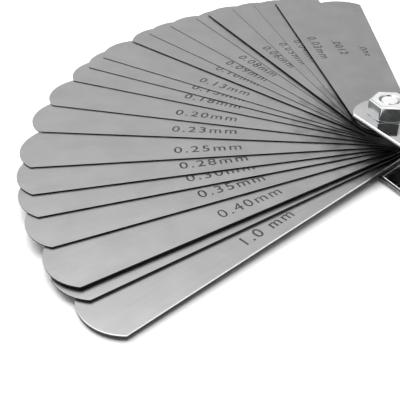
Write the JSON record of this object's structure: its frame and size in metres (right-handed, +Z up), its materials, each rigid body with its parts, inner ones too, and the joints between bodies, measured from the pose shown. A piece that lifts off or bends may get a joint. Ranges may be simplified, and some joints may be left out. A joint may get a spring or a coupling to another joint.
{
  "type": "feeler gauge",
  "caption": "Folding feeler gauge: thin steel leaves of graded thickness that turn on one screw and fold into a bent sheet-metal case.",
  "frame": {"origin": "centre of the flat underside of the pivot screw's head, on the pivot axis; the lowest plane of the object", "axes": "+Z up the pivot screw to the nut; +X along the case from the pivot to its tail; the case's spine is on the +Y side and its open side on -Y"},
  "size_m": [0.1471, 0.1124, 0.012],
  "materials": {
    "spring_steel": "satin, fine ground grain",
    "chromed_sheet": "bright chrome plate",
    "zinc_plate": "bright zinc plate"
  },
  "bodies": {
    "frame": {"case": "chromed_sheet", "pivot_screw": "zinc_plate", "hex_nut": "zinc_plate"},
    "leaf_1_00mm": {"leaf_1_00mm": "spring_steel"},
    "leaf_0_50mm": {"leaf_0_50mm": "spring_steel"},
    "leaf_0_40mm": {"leaf_0_40mm": "spring_steel"},
    "leaf_0_35mm": {"leaf_0_35mm": "spring_steel"},
    "leaf_0_30mm": {"leaf_0_30mm": "spring_steel"},
    "leaf_0_28mm": {"leaf_0_28mm": "spring_steel"},
    "leaf_0_25mm": {"leaf_0_25mm": "spring_steel"},
    "leaf_0_23mm": {"leaf_0_23mm": "spring_steel"},
    "leaf_0_20mm": {"leaf_0_20mm": "spring_steel"},
    "leaf_0_18mm": {"leaf_0_18mm": "spring_steel"},
    "leaf_0_15mm": {"leaf_0_15mm": "spring_steel"},
    "leaf_0_13mm": {"leaf_0_13mm": "spring_steel"},
    "leaf_0_12mm": {"leaf_0_12mm": "spring_steel"},
    "leaf_0_10mm": {"leaf_0_10mm": "spring_steel"},
    "leaf_0_09mm": {"leaf_0_09mm": "spring_steel"},
    "leaf_0_08mm": {"leaf_0_08mm": "spring_steel"},
    "leaf_0_07mm": {"leaf_0_07mm": "spring_steel"},
    "leaf_0_06mm": {"leaf_0_06mm": "spring_steel"},
    "leaf_0_05mm": {"leaf_0_05mm": "spring_steel"},
    "leaf_0_04mm": {"leaf_0_04mm": "spring_steel"},
    "leaf_0_03mm": {"leaf_0_03mm": "spring_steel"}
  },
  "joints": [
    {"name": "leaf_1_00mm_pivot", "type": "hinge", "parent": "frame", "child": "leaf_1_00mm", "pos_m": [0, 0, 0], "axis": [0, 0, 1], "range_deg": [-194, 76]},
    {"name": "leaf_0_50mm_pivot", "type": "hinge", "parent": "frame", "child": "leaf_0_50mm", "pos_m": [0, 0, 0], "axis": [0, 0, 1], "range_deg": [-187, 83]},
    {"name": "leaf_0_40mm_pivot", "type": "hinge", "parent": "frame", "child": "leaf_0_40mm", "pos_m": [0, 0, 0], "axis": [0, 0, 1], "range_deg": [-184.9, 85.1]},
    {"name": "leaf_0_35mm_pivot", "type": "hinge", "parent": "frame", "child": "leaf_0_35mm", "pos_m": [0, 0, 0], "axis": [0, 0, 1], "range_deg": [-176.3, 93.7]},
    {"name": "leaf_0_30mm_pivot", "type": "hinge", "parent": "frame", "child": "leaf_0_30mm", "pos_m": [0, 0, 0], "axis": [0, 0, 1], "range_deg": [-169.5, 100.5]},
    {"name": "leaf_0_28mm_pivot", "type": "hinge", "parent": "frame", "child": "leaf_0_28mm", "pos_m": [0, 0, 0], "axis": [0, 0, 1], "range_deg": [-164.2, 105.8]},
    {"name": "leaf_0_25mm_pivot", "type": "hinge", "parent": "frame", "child": "leaf_0_25mm", "pos_m": [0, 0, 0], "axis": [0, 0, 1], "range_deg": [-157.2, 112.8]},
    {"name": "leaf_0_23mm_pivot", "type": "hinge", "parent": "frame", "child": "leaf_0_23mm", "pos_m": [0, 0, 0], "axis": [0, 0, 1], "range_deg": [-146.7, 123.3]},
    {"name": "leaf_0_20mm_pivot", "type": "hinge", "parent": "frame", "child": "leaf_0_20mm", "pos_m": [0, 0, 0], "axis": [0, 0, 1], "range_deg": [-137.8, 132.2]},
    {"name": "leaf_0_18mm_pivot", "type": "hinge", "parent": "frame", "child": "leaf_0_18mm", "pos_m": [0, 0, 0], "axis": [0, 0, 1], "range_deg": [-128.1, 141.9]},
    {"name": "leaf_0_15mm_pivot", "type": "hinge", "parent": "frame", "child": "leaf_0_15mm", "pos_m": [0, 0, 0], "axis": [0, 0, 1], "range_deg": [-122.2, 147.8]},
    {"name": "leaf_0_13mm_pivot", "type": "hinge", "parent": "frame", "child": "leaf_0_13mm", "pos_m": [0, 0, 0], "axis": [0, 0, 1], "range_deg": [-117.3, 152.7]},
    {"name": "leaf_0_12mm_pivot", "type": "hinge", "parent": "frame", "child": "leaf_0_12mm", "pos_m": [0, 0, 0], "axis": [0, 0, 1], "range_deg": [-59.7, 210.3]},
    {"name": "leaf_0_10mm_pivot", "type": "hinge", "parent": "frame", "child": "leaf_0_10mm", "pos_m": [0, 0, 0], "axis": [0, 0, 1], "range_deg": [-108, 162]},
    {"name": "leaf_0_09mm_pivot", "type": "hinge", "parent": "frame", "child": "leaf_0_09mm", "pos_m": [0, 0, 0], "axis": [0, 0, 1], "range_deg": [-103, 167]},
    {"name": "leaf_0_08mm_pivot", "type": "hinge", "parent": "frame", "child": "leaf_0_08mm", "pos_m": [0, 0, 0], "axis": [0, 0, 1], "range_deg": [-97, 173]},
    {"name": "leaf_0_07mm_pivot", "type": "hinge", "parent": "frame", "child": "leaf_0_07mm", "pos_m": [0, 0, 0], "axis": [0, 0, 1], "range_deg": [-89.9, 180.1]},
    {"name": "leaf_0_06mm_pivot", "type": "hinge", "parent": "frame", "child": "leaf_0_06mm", "pos_m": [0, 0, 0], "axis": [0, 0, 1], "range_deg": [-86.8, 183.2]},
    {"name": "leaf_0_05mm_pivot", "type": "hinge", "parent": "frame", "child": "leaf_0_05mm", "pos_m": [0, 0, 0], "axis": [0, 0, 1], "range_deg": [-80.4, 189.6]},
    {"name": "leaf_0_04mm_pivot", "type": "hinge", "parent": "frame", "child": "leaf_0_04mm", "pos_m": [0, 0, 0], "axis": [0, 0, 1], "range_deg": [-74.9, 195.1]},
    {"name": "leaf_0_03mm_pivot", "type": "hinge", "parent": "frame", "child": "leaf_0_03mm", "pos_m": [0, 0, 0], "axis": [0, 0, 1], "range_deg": [-69.8, 200.2]}
  ]
}
